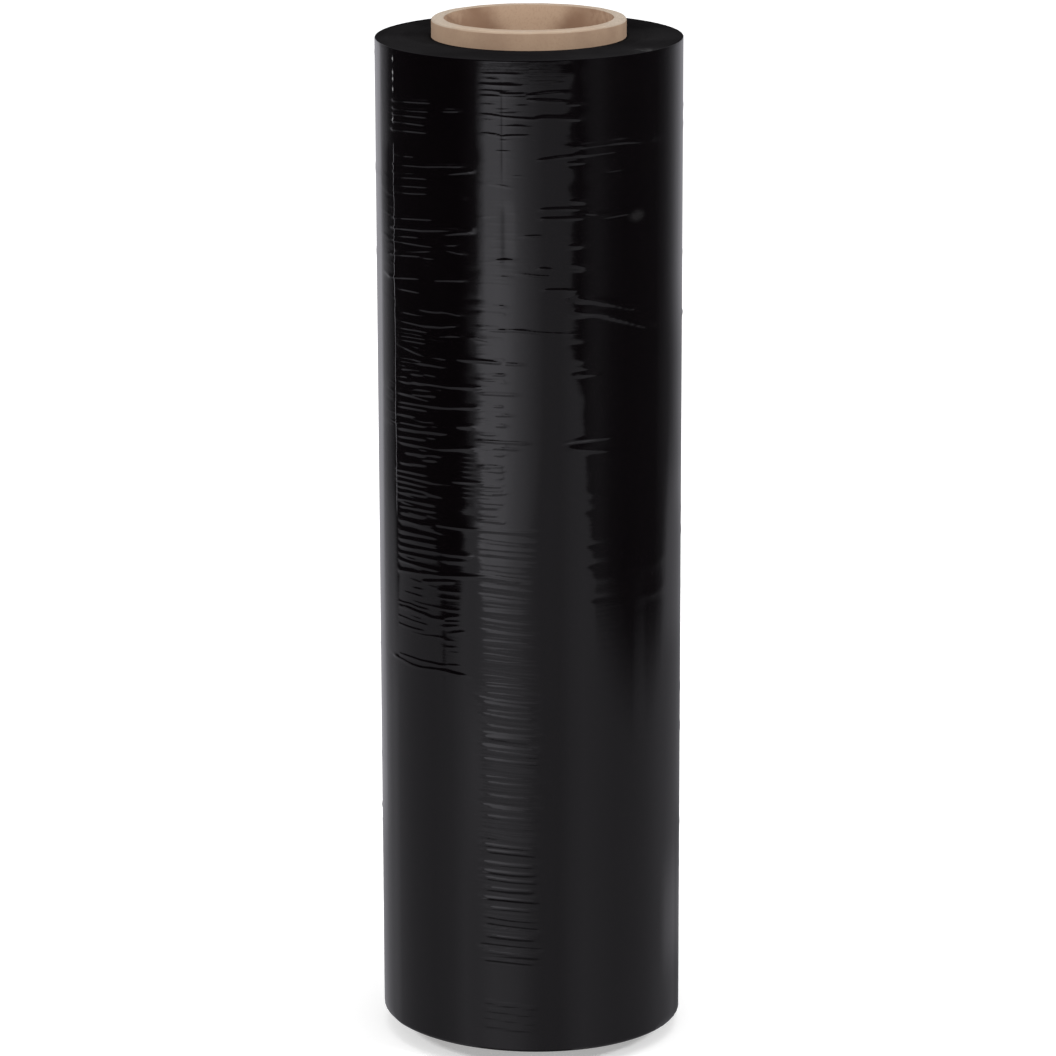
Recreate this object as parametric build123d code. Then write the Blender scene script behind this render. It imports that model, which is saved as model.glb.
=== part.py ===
from build123d import *
import math
import os

# A hand roll of black stretch wrap on a paperboard core.
# Millimetres, +Z up. The roll stands on the lower end of its core, at z = 0.
# Turn shares go once round the roll from the loose edge of the film, seen from
# above against the clock. Height shares go up the width of the film.

# Core
core_bore_d = 76.2
core_wall = 5.7
core_reach = 8.4
core_rim_round = 1.4

# Strips across each rounded edge
round_strips = 3

# Film winding
film_width = 457.2
winding_depth = 25.55
core_to_film_gap = 0.0
lip_round = 0.7
lip_spare = 0.3

# Loose edge of the last turn, 60 degrees to the left of the front
edge_turn = 210.0
edge_step = 0.35
spiral_parts = 4

# Turns that stand proud on the end faces, as shares of the winding depth
proud_turn_shares = [(0.12, 0.27), (0.46, 0.60), (0.78, 0.90)]
proud_step = 0.3
proud_slope = 0.35

# Creases: small ridges pulled round the roll
crease_lift = 0.55
crease_half_width = 1.0
crease_bury = 0.8
crease_spare_share = 1.25

# Long and short creases on the front, each written as
# turn share of its middle, height share, length as a share of a turn, slope, lift share
front_crease_shares = [
    (0.030, 0.952, 0.066, 0.085, 0.60),
    (0.028, 0.936, 0.060, 0.070, 0.55),
    (0.030, 0.929, 0.058, 0.050, 0.70),
    (0.082, 0.948, 0.028, 0.070, 0.80),
    (0.045, 0.890, 0.100, 0.100, 1.00),
    (0.018, 0.881, 0.046, 0.100, 0.90),
    (0.088, 0.888, 0.036, 0.160, 1.00),
    (0.028, 0.868, 0.060, 0.100, 0.90),
    (0.026, 0.837, 0.066, 0.110, 0.70),
    (0.046, 0.829, 0.104, 0.100, 1.00),
    (0.090, 0.830, 0.036, 0.170, 0.90),
    (0.028, 0.813, 0.066, 0.040, 0.90),
    (0.028, 0.806, 0.064, 0.130, 0.90),
    (0.020, 0.799, 0.058, 0.110, 0.70),
    (0.020, 0.775, 0.056, 0.190, 1.00),
    (0.024, 0.765, 0.042, 0.060, 1.00),
    (0.082, 0.782, 0.038, 0.090, 0.80),
    (0.078, 0.751, 0.040, -0.090, 0.80),
    (0.046, 0.736, 0.092, 0.080, 1.00),
    (0.080, 0.728, 0.036, 0.100, 0.70),
    (0.032, 0.706, 0.080, -0.070, 1.00),
    (0.118, 0.705, 0.074, -0.045, 0.70),
    (0.070, 0.678, 0.090, 0.030, 1.00),
    (0.026, 0.668, 0.048, 0.160, 0.90),
    (0.032, 0.664, 0.068, 0.105, 0.90),
    (0.056, 0.655, 0.116, 0.060, 1.00),
    (0.038, 0.628, 0.082, 0.085, 1.00),
    (0.044, 0.613, 0.088, 0.040, 1.00),
    (0.035, 0.605, 0.050, 0.090, 0.80),
    (0.024, 0.584, 0.054, 0.060, 0.90),
    (0.026, 0.578, 0.056, 0.040, 0.90),
    (0.026, 0.566, 0.052, 0.030, 0.90),
    (0.026, 0.552, 0.052, 0.040, 0.90),
    (0.100, 0.583, 0.040, 0.030, 0.80),
    (0.056, 0.534, 0.120, 0.050, 0.90),
    (0.030, 0.514, 0.064, 0.040, 0.90),
    (0.030, 0.502, 0.066, 0.040, 0.90),
    (0.054, 0.485, 0.116, 0.070, 1.00),
    (0.030, 0.442, 0.080, -0.110, 1.00),
    (0.026, 0.434, 0.052, -0.080, 0.80),
    (0.026, 0.425, 0.052, -0.060, 0.80),
    (0.074, 0.436, 0.024, 0.300, 0.80),
    (0.030, 0.399, 0.072, -0.080, 0.90),
    (0.036, 0.390, 0.088, -0.090, 1.00),
    (0.142, 0.976, 0.044, -0.030, 0.60),
    (0.148, 0.966, 0.034, 0.000, 0.60),
    (0.170, 0.943, 0.096, -0.040, 0.90),
    (0.140, 0.927, 0.050, -0.040, 0.70),
    (0.196, 0.904, 0.040, 0.100, 0.70),
    (0.262, 0.907, 0.092, -0.100, 0.80),
    (0.198, 0.853, 0.044, 0.000, 0.60),
    (0.278, 0.840, 0.036, -0.040, 1.00),
    (0.246, 0.754, 0.068, -0.230, 0.90),
    (0.252, 0.738, 0.090, -0.270, 0.90),
    (0.166, 0.736, 0.088, -0.040, 0.80),
    (0.228, 0.616, 0.040, -0.080, 0.90),
    (0.236, 0.627, 0.030, 0.000, 0.60),
]

# Ripples under the front creases, down the lower half of the film
ripple_count = 15
ripple_top_share = 0.455
ripple_bottom_share = 0.085
ripple_turn_share = 0.142
ripple_shift_share = 0.006
ripple_length_share = 0.062
ripple_slope = -0.07
ripple_lift_share = 0.55
ripple_sway = 2.4

# Creases round the back, spread evenly by a fixed stride
back_count = 24
back_from_share = 0.36
back_span_share = 0.58
back_stride_share = 0.618
back_low_share = 0.10
back_high_share = 0.94
back_length_share = 0.060
back_length_swing_share = 0.024
back_slope = 0.07
back_lift_share = 0.80
back_sway = 1.7

# Sizes that follow from the ones above
core_bore_r = core_bore_d / 2
core_outer_r = core_bore_r + core_wall
core_length = film_width + 2 * core_reach
film_bore_r = core_outer_r + core_to_film_gap
film_outer_r = core_outer_r + winding_depth
film_low = core_reach
film_high = core_reach + film_width


def around(radius, angle):
    """A point at a radius and an angle in degrees, on the floor plane."""
    turned = math.radians(angle)
    return Vector(radius * math.cos(turned), radius * math.sin(turned))


def quarter_round(centre_r, centre_z, radius, start):
    """Points round a quarter of an edge's rounding, in even strips, from an angle in degrees."""
    points = []
    for strip in range(round_strips + 1):
        angle = math.radians(start + 90.0 * strip / round_strips)
        points.append((centre_r + radius * math.cos(angle), centre_z + radius * math.sin(angle)))
    return points


def turned(points):
    """A solid turned about the roll's axis from its half section."""
    return revolve(Plane.XZ * Polygon(*points, align=None), Axis.Z)


def core_solid():
    """The paperboard tube, with the outer edge of each end pressed round."""
    round_r = core_outer_r - core_rim_round
    section = [(core_bore_r, 0)]
    section += quarter_round(round_r, core_rim_round, core_rim_round, -90.0)
    section += quarter_round(round_r, core_length - core_rim_round, core_rim_round, 0.0)
    section.append((core_bore_r, core_length))
    return turned(section)


def last_turn_outline():
    """The outside of the winding from above: four arcs that run inwards to the edge step."""
    arc_angle = 360.0 / spiral_parts
    arc_step = edge_step / spiral_parts
    centre = Vector(0, 0)
    radius = film_outer_r
    arcs = []
    for part in range(spiral_parts):
        start = edge_turn + part * arc_angle
        first = centre + around(radius, start)
        middle = centre + around(radius, start + arc_angle / 2)
        last = centre + around(radius, start + arc_angle)
        arcs.append(ThreePointArc(first, middle, last))
        centre = centre + around(arc_step, start + arc_angle)
        radius = radius - arc_step
    arcs.append(Line(arcs[-1] @ 1, arcs[0] @ 0))
    return make_face(Curve() + arcs)


def end_face_points():
    """Half section of one end face, outwards from the bore: pairs of radius and depth."""
    points = [(film_bore_r, proud_step)]
    for start_share, end_share in proud_turn_shares:
        rise = film_bore_r + winding_depth * start_share
        fall = film_bore_r + winding_depth * end_share
        points.append((rise, proud_step))
        points.append((rise + proud_slope, 0))
        points.append((fall, 0))
        points.append((fall + proud_slope, proud_step))
    return points


def envelope():
    """Everything inside the end faces and the rounded lips of the winding."""
    face = end_face_points()
    lip_r = film_outer_r + lip_spare - lip_round
    lip_depth = proud_step + lip_round
    section = [(r, film_low + depth) for r, depth in face]
    section += quarter_round(lip_r, film_low + lip_depth, lip_round, -90.0)
    section += quarter_round(lip_r, film_high - lip_depth, lip_round, 0.0)
    section += [(r, film_high - depth) for r, depth in reversed(face)]
    return turned(section)


def crease(turn_share, height_share, length_share, slope, lift_share):
    """One ridge that runs out to nothing at both ends: a slice of a V-edged ring set off centre."""
    base_r = film_outer_r - edge_step * turn_share
    lift = crease_lift * lift_share
    half_angle = 180.0 * length_share
    drop = base_r * (1 - math.cos(math.radians(half_angle)))
    offset = lift * (2 * base_r + lift) / (2 * (lift + drop))
    ring_r = base_r + lift - offset
    across = base_r * math.sin(math.radians(half_angle))
    swing = math.degrees(math.atan2(across, base_r - drop - offset)) * crease_spare_share
    root = lift + crease_bury
    flare = crease_half_width * root / crease_lift
    tip = (ring_r, 0)
    section = Plane.XZ * Polygon(tip, (ring_r - root, flare), (ring_r - root, -flare), align=None)
    ridge = Rot(0, 0, -swing) * revolve(section, Axis.Z, 2 * swing)
    lean = math.degrees(math.atan(slope))
    place = Rot(0, 0, edge_turn + 360.0 * turn_share) * Pos(0, 0, film_low + film_width * height_share)
    return place * Rot(lean, 0, 0) * Pos(offset, 0, 0) * ridge


def ripple_rows():
    """The even ripples of the lower front."""
    rows = []
    for number in range(ripple_count):
        down = number / (ripple_count - 1)
        height_share = ripple_top_share + (ripple_bottom_share - ripple_top_share) * down
        sway = math.sin(number * ripple_sway)
        rows.append((
            ripple_turn_share + ripple_shift_share * sway,
            height_share,
            ripple_length_share,
            ripple_slope,
            ripple_lift_share,
        ))
    return rows


def back_rows():
    """The scattered creases round the back."""
    rows = []
    for number in range(back_count):
        along = (number * back_stride_share) % 1.0
        up = (number + 0.5) / back_count
        sway = math.sin(number * back_sway)
        rows.append((
            back_from_share + back_span_share * along,
            back_low_share + (back_high_share - back_low_share) * up,
            back_length_share + back_length_swing_share * sway,
            back_slope * sway,
            back_lift_share,
        ))
    return rows


def film_solid():
    """All the turns of film as one solid, with the step at the loose edge and the creases."""
    film = Pos(0, 0, film_low) * extrude(last_turn_outline(), film_width)
    film = film & envelope()
    ridges = [crease(*row) for row in front_crease_shares + ripple_rows() + back_rows()]
    film = film + ridges
    bore = Cylinder(film_bore_r, core_length, align=(Align.CENTER, Align.CENTER, Align.MIN))
    return film - bore


os.makedirs("parts", exist_ok=True)
export_step(core_solid(), "parts/core_tube.step")
export_step(film_solid(), "parts/film_winding.step")
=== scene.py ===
import math
import bpy
import numpy as np
from mathutils import Matrix, Vector


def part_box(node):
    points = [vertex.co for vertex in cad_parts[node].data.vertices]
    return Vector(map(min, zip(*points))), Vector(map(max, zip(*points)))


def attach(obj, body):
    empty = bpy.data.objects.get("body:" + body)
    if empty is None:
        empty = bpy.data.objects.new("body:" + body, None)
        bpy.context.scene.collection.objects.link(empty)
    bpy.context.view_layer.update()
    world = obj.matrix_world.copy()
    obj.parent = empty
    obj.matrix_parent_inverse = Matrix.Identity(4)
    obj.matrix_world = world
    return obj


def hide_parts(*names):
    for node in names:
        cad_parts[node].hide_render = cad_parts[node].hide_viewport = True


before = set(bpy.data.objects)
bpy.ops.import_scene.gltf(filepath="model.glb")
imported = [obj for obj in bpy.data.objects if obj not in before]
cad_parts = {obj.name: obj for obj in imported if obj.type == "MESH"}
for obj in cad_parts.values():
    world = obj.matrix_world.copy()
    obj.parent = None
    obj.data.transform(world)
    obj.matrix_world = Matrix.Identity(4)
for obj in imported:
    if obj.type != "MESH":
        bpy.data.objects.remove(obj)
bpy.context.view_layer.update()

# Sizes, in metres

MM = 0.001
core_low, core_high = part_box("core_tube")
film_low, film_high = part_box("film_winding")
CORE_OUTER_R = (core_high.x - core_low.x) / 2
CORE_WALL = 5.7 * MM
CORE_BORE_R = CORE_OUTER_R - CORE_WALL
CORE_HEIGHT = core_high.z
FILM_BASE = film_low.z
FILM_TOP = film_high.z
FILM_WIDTH = FILM_TOP - FILM_BASE
FILM_R = 69.45 * MM
# The loose edge of the last turn, in degrees from the front
EDGE_TURN = -60.0
EDGE_STEP = 0.30 * MM
FULL_TURN = 360.0


# Node building

class Value:
    """A number that varies over a surface. Sums with it add Math nodes."""

    def __init__(self, graph, socket):
        self.graph = graph
        self.socket = socket

    def math(self, operation, *others):
        inputs = dict(enumerate((self,) + others))
        return self.graph.add("ShaderNodeMath", {"operation": operation}, inputs)

    def __add__(self, other):
        return self.math("ADD", other)

    __radd__ = __add__

    def __sub__(self, other):
        return self.math("SUBTRACT", other)

    def __rsub__(self, other):
        return self.graph.add("ShaderNodeMath", {"operation": "SUBTRACT"}, {0: other, 1: self})

    def __mul__(self, other):
        return self.math("MULTIPLY", other)

    __rmul__ = __mul__

    def __truediv__(self, other):
        return self.math("DIVIDE", other)

    def __pow__(self, other):
        return self.math("POWER", other)

    def rises(self, low, high):
        """0 below low, 1 above high, with a smooth passage."""
        settings = {"interpolation_type": "SMOOTHSTEP"}
        inputs = {"Value": self, "From Min": low, "From Max": high}
        return self.graph.add("ShaderNodeMapRange", settings, inputs)


class Graph:
    """A node tree that is filled from plain expressions."""

    def __init__(self, tree):
        self.tree = tree
        tree.nodes.clear()

    def add(self, kind, settings=None, inputs=None, output=0):
        node = self.tree.nodes.new(kind)
        for name, setting in (settings or {}).items():
            if name == "stops":
                self.set_stops(node.color_ramp, setting)
            else:
                setattr(node, name, setting)
        for name, given in (inputs or {}).items():
            if isinstance(given, Value):
                self.tree.links.new(given.socket, node.inputs[name])
            else:
                node.inputs[name].default_value = given
        return Value(self, node.outputs[output])

    @staticmethod
    def set_stops(ramp, stops):
        while len(ramp.elements) < len(stops):
            ramp.elements.new(1.0)
        for element, (place, level) in zip(ramp.elements, stops):
            element.position = place
            element.color = (level, level, level, 1.0)

    def place(self):
        """Where the shaded point lies in the part's own frame."""
        return self.add("ShaderNodeTexCoord", None, None, "Object")

    def parts(self, vector):
        """The three numbers of a vector."""
        split = self.add("ShaderNodeSeparateXYZ", None, {0: vector})
        return [Value(self, output) for output in split.socket.node.outputs]

    def vector(self, x, y, z):
        return self.add("ShaderNodeCombineXYZ", None, {0: x, 1: y, 2: z})

    def noise(self, vector, scale, detail=2.0, roughness=0.5):
        inputs = {"Vector": vector, "Scale": scale, "Detail": detail, "Roughness": roughness}
        return self.add("ShaderNodeTexNoise", None, inputs)

    def blend(self, factor, first, second):
        """The first colour where the factor is 0, and the second where it is 1."""
        settings = {"data_type": "RGBA"}
        return self.add("ShaderNodeMix", settings, {0: factor, 6: first, 7: second}, 2)

    def bump(self, height, distance, strength=1.0, under=None):
        inputs = {"Height": height, "Distance": distance, "Strength": strength}
        if under is not None:
            inputs["Normal"] = under
        return self.add("ShaderNodeBump", None, inputs)

    def finish(self, shader, kind="ShaderNodeOutputMaterial"):
        output = self.tree.nodes.new(kind)
        self.tree.links.new(shader.socket, output.inputs["Surface"])


def new_material(name):
    material = bpy.data.materials.new(name)
    material.use_nodes = True
    return material, Graph(material.node_tree)


def tone(red, green, blue):
    """A colour given as screen values from 0 to 255."""
    def channel(value):
        share = value / 255
        return share / 12.92 if share <= 0.04045 else ((share + 0.055) / 1.055) ** 2.4
    return (channel(red), channel(green), channel(blue), 1.0)


# Film: where the creases lie

# Each crease runs from one place to another on the side of the roll:
# degrees from the front and millimetres of height at its left end, the same at its right end,
# how far it stands out and half its width, both in millimetres.
LEFT_CREASES = [
    (-43.5, 407.4, -24.5, 409.6, 0.45, 0.7), (-63, 376.4, -42.5, 378.9, 0.5, 0.66),
    (-45, 378.6, -24.5, 381, 0.5, 0.72), (-39, 344.2, -25, 342.6, 0.31, 0.75),
    (-37, 333.4, -29, 334, 0.21, 0.7), (-42, 321.8, -31, 322.2, 0.31, 0.7),
    (-48, 319.6, -36, 320.6, 0.26, 0.9), (-51, 312, -44, 313.2, 0.26, 0.6),
    (-29, 292, -20, 292.6, 0.23, 0.9), (-30.5, 266.6, -16, 267, 0.31, 0.6),
    (-61, 263.8, -40, 265, 0.31, 0.7), (-58.5, 249.8, -38.6, 251.4, 0.23, 0.7),
    (-58.4, 247, -43.5, 247.8, 0.22, 1.1), (-59, 243.4, -38, 244.4, 0.34, 1.1),
    (-36, 215, -28, 215.5, 0.24, 0.6), (-36, 211.6, -28, 212.1, 0.1, 0.4),
    (-51, 207.3, -39.4, 207.1, 0.08, 0.42), (-41, 207.1, -27.5, 207.3, 0.08, 0.42),
    (-59.5, 204.9, -50.9, 205.5, 0.15, 0.5), (-52.5, 205.5, -41.5, 204.8, 0.15, 0.5),
    (-35, 200.4, -28, 201.9, 0.15, 0.6), (-35, 197.8, -28.2, 199.9, 0.2, 0.8),
    (-60, 197.8, -49.9, 197.6, 0.14, 0.52), (-51.5, 197.6, -41.5, 197.4, 0.14, 0.52),
    (-31.4, 195.4, -24, 198.1, 0.14, 0.5), (-59.7, 194.3, -43.5, 194.5, 0.16, 0.56),
    (-44, 192.4, -33, 193.3, 0.1, 0.45), (-34.4, 192.5, -30.4, 192.7, 0.12, 0.7),
    (-52, 192.2, -42.4, 192.4, 0.1, 0.45), (-33.4, 189.1, -28.2, 190.2, 0.09, 0.5),
    (-31, 186.6, -26.6, 187.4, 0.06, 0.4), (-33, 180.6, -26.2, 181.5, 0.11, 0.45),
    (-45.9, 180, -34.5, 180.1, 0.19, 0.66), (-59.5, 180, -44.3, 180, 0.19, 0.66),
]
BAND_CREASES = [
    (-17, 450.6, -3, 450.6, 0.055, 0.4), (-16, 448.8, -11, 447.7, 0.055, 0.4),
    (-18, 446.3, -3, 445.8, 0.12, 0.4), (-18, 443.5, -13, 443.5, 0.066, 0.4),
    (-12, 442.3, -2, 442.3, 0.131, 0.4), (-18, 441, -1, 440.7, 0.098, 0.4),
    (-5, 436.8, 0, 436.8, 0.055, 0.48), (-18, 433.1, 5, 430.8, 0.12, 0.48),
    (-8, 428.2, 2, 427.2, 0.066, 0.48), (-18, 424.6, -10, 423.4, 0.12, 0.4),
    (-10, 423.4, 0, 423.8, 0.131, 0.4), (-8, 405.8, -1, 405.8, 0.066, 0.4),
    (-17, 402.6, -5, 400.4, 0.087, 0.48), (-8, 389.8, -5, 389.4, 0.076, 0.4),
    (-19, 387.5, -12, 388.6, 0.066, 0.4), (-3, 379, 6, 379.2, 0.156, 0.51),
    (-13, 368, -5.5, 368.3, 0.254, 0.68), (-5, 362.7, 9, 361, 0.175, 0.51),
    (-12, 360.8, -6, 360.6, 0.137, 0.51), (-13, 347.6, -8, 347.4, 0.175, 0.59),
    (-18, 336.6, 0, 337, 0.137, 0.59), (-6, 337.3, 15, 335, 0.215, 0.51),
    (-17, 333.2, -13, 332.6, 0.254, 0.77), (-23.5, 333.4, -13, 331.4, 0.175, 0.59),
    (-28.5, 322.8, -10, 322.2, 0.343, 0.63), (-19, 308, -4, 308, 0.2, 0.72),
    (-20, 286.6, 0, 286, 0.229, 0.63), (-38, 245.6, 4, 245, 0.229, 0.63),
]
RIGHT_CREASES = [
    (17, 418.4, 36, 419.2, 0.6, 1.45), (32, 419.6, 53.5, 417.2, 0.74, 1.5),
    (17, 414.6, 38, 415.6, 0.52, 1.2), (26, 406.6, 40, 406.8, 0.45, 0.95),
    (20, 388.8, 29, 387.4, 0.5, 0.8), (27, 386.2, 44, 386.8, 0.46, 0.9),
    (17, 351, 31, 347.6, 0.72, 1.4), (28, 348.2, 43, 343, 0.76, 1.35),
    (16, 344.6, 32, 342.4, 0.66, 1.3), (28, 342.8, 51, 333.4, 0.9, 1.5),
]
# Creases of one kind, by how far they stand out and half their width, each with its two ends
ALIKE_CREASES = {
    (0.52, 0.8): [
        (-61, 434, -37, 436.5), (-34.5, 433, -25.5, 433.8), (-61, 430.7, -38, 432.7),
        (-61, 428, -39, 429.8), (-61, 425, -40, 426.2), (-62, 421, -39, 423),
    ],
    (0.4, 0.62): [
        (-60, 410.3, -45, 411.6), (-62, 405.2, -42, 407.6), (-62, 402.1, -45, 404.1),
        (-61, 399.8, -39, 402.5), (-61, 396, -39, 398.7), (-62, 381.2, -37, 384.5),
        (-23.5, 381.4, -20.5, 381.4), (-61, 373.2, -44, 375.5), (-62, 371, -37, 372.2),
        (-60, 366.5, -38, 370.5), (-43, 366.2, -37, 367), (-64, 364, -43, 367.2),
        (-38, 357, -24, 358.6), (-66, 353.2, -44, 357), (-59, 349.8, -44, 350.5),
    ],
    (0.4, 0.7): [(-33, 405, -21, 407.3), (-61, 393.5, -39, 396), (-34, 378, -21, 380.4)],
    (0.4, 0.75): [(-28, 397, -24, 394), (-34, 373.2, -26.5, 374.4), (-33, 371.6, -24, 370.2)],
    (0.34, 0.5): [(0, 441.4, 13.5, 442.8), (0, 439.9, 14, 438.5), (3.5, 412.8, 17, 414.5)],
    (0.34, 0.6): [
        (14, 437, 20, 437.2), (14, 411, 20, 411), (4, 391, 20, 390.8),
        (4, 387.1, 21, 387), (3, 365, 9, 363.6), (5, 355, 16, 354.5),
    ],
    (0.34, 0.7): [
        (-61, 266.2, -42, 267.6), (15, 394.5, 20, 394.5), (14, 374.5, 20, 374.5),
        (15, 366, 22, 364.5), (10, 285.2, 21, 286.6),
    ],
    (0.34, 0.8): [
        (-44, 335.7, -27, 338.2), (-60, 335.4, -42, 335.8), (-59, 324.6, -40, 321.6),
        (-32, 309.8, -17, 310.4), (-50, 309.2, -30, 309.8), (-37, 280.4, -20, 282.8),
        (-59, 279.6, -36, 280.4), (-59, 224.4, -36, 224.2), (3, 431.6, 20, 430.4),
        (18, 316.2, 26, 315.8), (19, 286.6, 31, 286.4), (14, 283, 30, 280.4),
    ],
    (0.34, 0.9): [
        (-60, 302, -36, 305), (-60, 298, -30, 300.4), (-59, 234.6, -37, 236.2),
        (-34, 232.6, -22, 232.8), (-60, 219.4, -34, 222.2),
    ],
    (0.34, 1): [(-48, 287, -31, 288.4), (-60, 285.8, -46, 287.2), (-59, 238.6, -38, 239.4)],
    (0.31, 0.8): [
        (-58, 303.4, -41, 307), (-31, 300.4, -18, 301.4), (-60, 282, -42, 284),
        (-54, 275.6, -34, 277.6), (-59, 231, -36, 233), (-36, 222.2, -14, 224.2),
    ],
    (0.31, 0.9): [(-60, 292.4, -46, 293.4), (-60, 253, -38, 254.6), (-34, 229.2, -24, 230.2)],
    (0.29, 0.7): [
        (-58, 270, -42, 272.2), (-61, 261.2, -42, 262.4), (-60, 258.8, -40, 260.2),
        (-60, 256, -42, 257.6), (-59, 227.8, -38, 229),
    ],
    (0.26, 0.4): [(-43, 366.4, -38, 366.4), (-43, 364.8, -38, 364.8), (-43, 363.2, -38, 363.2)],
    (0.26, 0.7): [
        (-58, 315, -45, 316.6), (-58, 313.4, -42, 315.2), (-60, 309.4, -50, 311),
        (-44, 274, -36, 275.2), (-44, 217.4, -30, 220.4),
    ],
    (0.26, 0.8): [(-37, 331.8, -24.5, 333.8), (-46, 291.6, -36, 292.6), (-33, 287, -26, 281.4)],
    (0.229, 0.54): [
        (-10, 322, -2, 321.4), (-12, 298.6, -6, 298.4), (-12, 283.6, -4, 283), (-16, 224, -4, 222.2),
    ],
    (0.22, 0.76): [
        (-65.2, 178.2, -52.3, 177.1), (-33.8, 177.9, -23.5, 177.2),
        (-44.1, 177, -32.2, 177.9), (-53.9, 177.1, -42.5, 177),
    ],
    (0.21, 0.72): [
        (-35.1, 202, -28.2, 204.5), (-59, 202.6, -48.5, 202.4),
        (-50.1, 202.4, -40.6, 201.7), (-42.2, 201.7, -33.5, 202),
    ],
    (0.3, 0.6): [
        (-59, level, -41, level + 1.4)
        for level in (332, 330, 328.4, 326.6, 318.4, 316.8, 307.6, 296, 288.6)
    ],
}

# Long thin folds up the roll: degrees from the front, height of the lower and the upper end,
# lift and half width in millimetres
UPRIGHT_FOLDS = [
    (-9.6, 396.0, 454.0, -0.11, 0.6),
    (-8.6, 362.0, 398.0, -0.26, 2.2),
]

# Small puckers and dimples beside the edge of the bright band: degrees from the front, height,
# lift in millimetres, half width in degrees and half height in millimetres
PUCKERS = [
    (17.5, 450.5, 0.14, 3.5, 4), (17, 455, -0.12, 4, 2.5), (17, 444.2, -0.08, 3.5, 2),
    (17.5, 439.2, -0.1, 3.5, 1.4), (17.5, 434.8, -0.12, 3.5, 1.8), (18.5, 431.8, 0.18, 3.5, 1.2),
    (18, 426.5, -0.1, 3, 1.5), (17, 421.8, -0.22, 5.5, 2.6), (20, 415.6, 0.16, 4, 2.2),
    (19.5, 412.2, 0.16, 3.5, 1.2), (18, 410.2, -0.2, 3.5, 0.9), (20, 405, 0.12, 4, 3.5),
    (18, 400.2, -0.16, 3.5, 2.6), (21, 394.2, 0.2, 4.5, 1.5), (18, 391.8, -0.16, 3.5, 1),
    (22, 386, 0.18, 6, 2), (43.5, 385.4, 0.5, 3.2, 2.1), (19, 374.6, 0.2, 4, 1.2), (16.5, 370.6, 0.06, 3, 1),
    (21, 364.2, 0.22, 5, 1.6), (17, 351.2, -0.18, 4, 1.4), (21, 343, 0.12, 5, 5),
    (18, 330, -0.1, 4, 1.5), (19, 323, 0.12, 4, 2), (20, 317.6, -0.12, 4, 1),
    (22, 308, 0.1, 4, 6), (17, 285.2, -0.34, 7, 1.2), (23, 281.4, 0.12, 5, 1.2),
    (24, 262, 0.08, 4, 2.2), (23, 254, -0.08, 4, 1.8), (25, 238, -0.1, 4, 1.4),
    (24, 229, -0.12, 4, 1.8), (27, 222, 0.1, 4, 2.2), (26, 213, -0.1, 4, 1.6),
    (-23, 281.2, 0.1, 4.5, 0.7), (-23, 278.8, 0.08, 4.5, 0.6), (-22.5, 276.4, 0.1, 4.5, 0.6),
    (-23, 274.4, 0.08, 4, 0.6), (-23.5, 272.2, 0.1, 4.5, 0.6), (-22.5, 269.8, 0.1, 4.5, 0.6),
    (-23, 267.2, 0.12, 5, 0.6), (-23, 264.6, 0.08, 4, 0.6), (-22.5, 262.6, 0.08, 4.5, 0.6),
    (-22.5, 260.4, 0.08, 4, 0.6), (-22, 350.2, -0.14, 4.5, 1.2), (-22, 345.4, -0.12, 4.5, 1),
    (-24, 332.6, 0.16, 5, 1.6), (-24, 322.6, 0.14, 5, 2), (-24, 309.6, 0.12, 5, 2.2),
    (-25, 292.4, 0.1, 5, 1.6), (-21.5, 316, -0.1, 4, 1.6), (-21.5, 304, -0.08, 4, 1.6),
    (-21, 414, -0.08, 3.5, 5), (-21, 363, -0.06, 3.5, 2), (-22, 246, 0.1, 5, 2.5),
    (-23, 252, -0.1, 4.5, 1.8), (53, 224, 0.16, 5, 3), (53, 210, 0.14, 5, 2.5),
]

# Creases that fall anywhere in a patch of the side: how many, degrees of their left ends, heights,
# lengths in degrees, lifts and half width in millimetres, and the most slope in millimetres a degree
SCATTERED_CREASES = [
    (44, (-60, -44), (250, 345), (6, 20), (0.10, 0.24), 0.6, 0.06),
    (34, (-19, -12), (345, 452), (4, 12), (0.02, 0.06), 0.4, 0.03),
    (16, (8, 18), (330, 452), (3, 8), (0.03, 0.08), 0.45, 0.05),
    (60, (80, 170), (60, 450), (8, 34), (0.07, 0.20), 0.9, 0.05),
    (60, (-180, -100), (60, 450), (8, 34), (0.10, 0.30), 0.9, 0.05),
    (26, (-73, -62), (285, 306), (3, 8), (0.10, 0.20), 0.42, 0.008),
    (30, (-74, -62), (340, 404), (3, 8), (0.06, 0.14), 0.42, 0.008),
]
FRAYED_CREASES = (22, (-60, -46), (200, 252), (7, 16), (0.06, 0.16), 0.5, 0.10)
BAND_EDGE_CREASES = [
    (26, (-20, -18.5), (254, 277), (8, 10), (0.05, 0.10), 0.42, 0.02),
    (40, (-19.5, -18.5), (246, 345), (6, 8.5), (0.05, 0.10), 0.45, 0.02),
    (26, (-14, -12.5), (246, 345), (3.5, 5), (0.08, 0.14), 0.5, 0.02),
]
# Ripples one under the other: lowest and highest height, spacing, lifts and half widths
BAND_RIPPLES = [
    (12, 25, (3.0, 4.6), (0.20, 0.30), (0.7, 0.9)),
    (44, 110, (2.8, 5.4), (0.20, 0.40), (0.65, 0.95)),
    (110, 174, (2.4, 5.0), (0.10, 0.24), (0.55, 0.85)),
    (42, 174, (1.6, 3.0), (0.05, 0.12), (0.40, 0.65)),
    (175, 246, (1.5, 3.2), (0.02, 0.070), (0.40, 0.62)),
]
# The winding is never quite round: waves in a turn and their size in millimetres
WIDE_FLATS = [(5, 0.05), (9, 0.03), (14, 0.016), (23, 0.008)]

SEED = 7
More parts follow.
